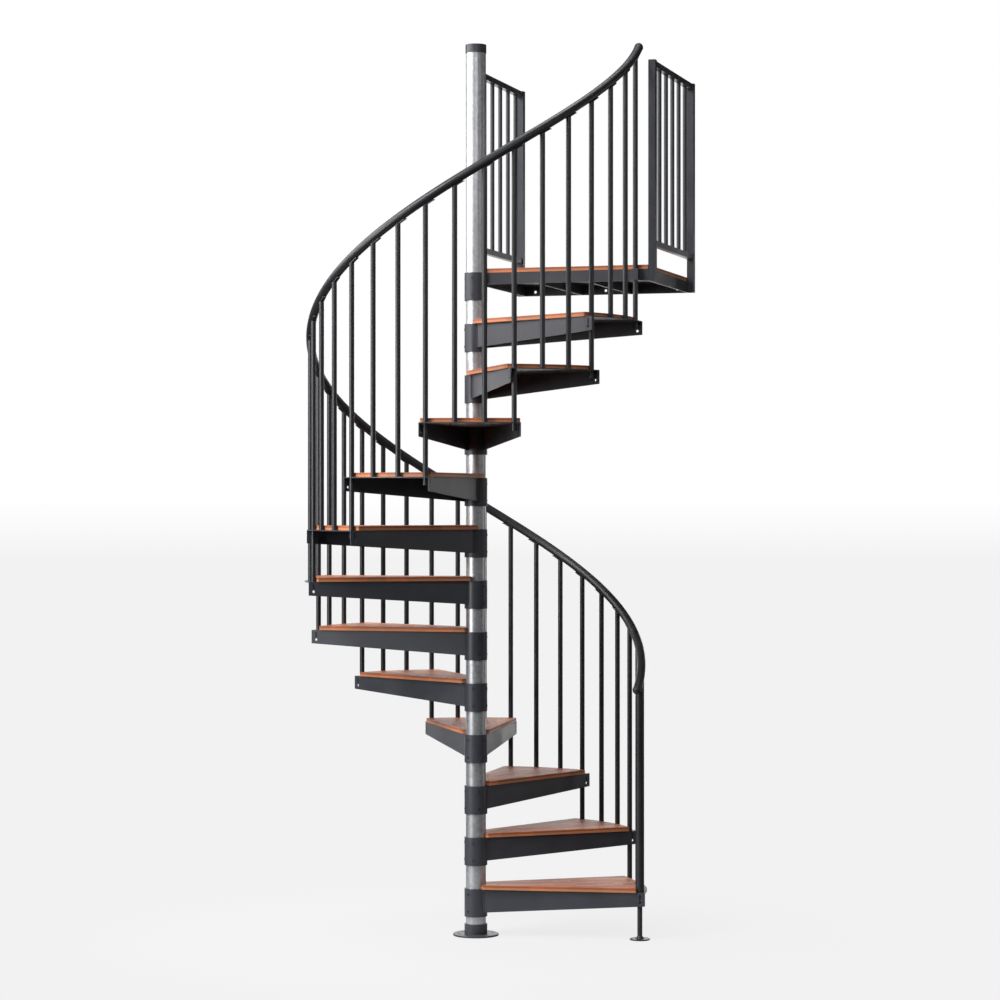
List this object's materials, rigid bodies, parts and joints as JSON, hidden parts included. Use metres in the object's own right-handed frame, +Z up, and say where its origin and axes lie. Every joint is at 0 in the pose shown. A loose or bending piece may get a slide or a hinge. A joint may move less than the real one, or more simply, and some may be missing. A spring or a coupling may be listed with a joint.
{
  "type": "spiral staircase",
  "caption": "Steel spiral staircase with wooden wedge treads round a centre pole, a helical handrail on round balusters, and a square top landing with guard panels.",
  "frame": {"origin": "on the centre pole's axis, at the underside of the base flange", "axes": "+Z up along the pole; the landing's front edge runs along +X and the landing reaches towards +Y, where it meets the upper floor"},
  "size_m": [1.5836, 1.5329, 3.9656],
  "materials": {
    "dark_steel": "satin anthracite powder coat",
    "galvanised_steel": "hot-dip galvanised, faint spangle",
    "wood": "oiled red-brown hardwood"
  },
  "bodies": {
    "root": {"balusters_01_to_03": "dark_steel", "balusters_04_to_06": "dark_steel", "balusters_07_to_09": "dark_steel", "balusters_10_to_12": "dark_steel", "base_flange": "dark_steel", "centre_pole": "galvanised_steel", "guard_panel_left": "dark_steel", "guard_panel_right": "dark_steel", "handrail": "dark_steel", "landing_deck": "wood", "landing_frame": "dark_steel", "newel": "dark_steel", "newel_foot": "dark_steel", "pole_cap": "dark_steel", "tread_01_board": "wood", "tread_01_support": "dark_steel", "tread_02_board": "wood", "tread_02_support": "dark_steel", "tread_03_board": "wood", "tread_03_support": "dark_steel", "tread_04_board": "wood", "tread_04_support": "dark_steel", "tread_05_board": "wood", "tread_05_support": "dark_steel", "tread_06_board": "wood", "tread_06_support": "dark_steel", "tread_07_board": "wood", "tread_07_support": "dark_steel", "tread_08_board": "wood", "tread_08_support": "dark_steel", "tread_09_board": "wood", "tread_09_support": "dark_steel", "tread_10_board": "wood", "tread_10_support": "dark_steel", "tread_11_board": "wood", "tread_11_support": "dark_steel", "tread_12_board": "wood", "tread_12_support": "dark_steel"}
  },
  "joints": []
}
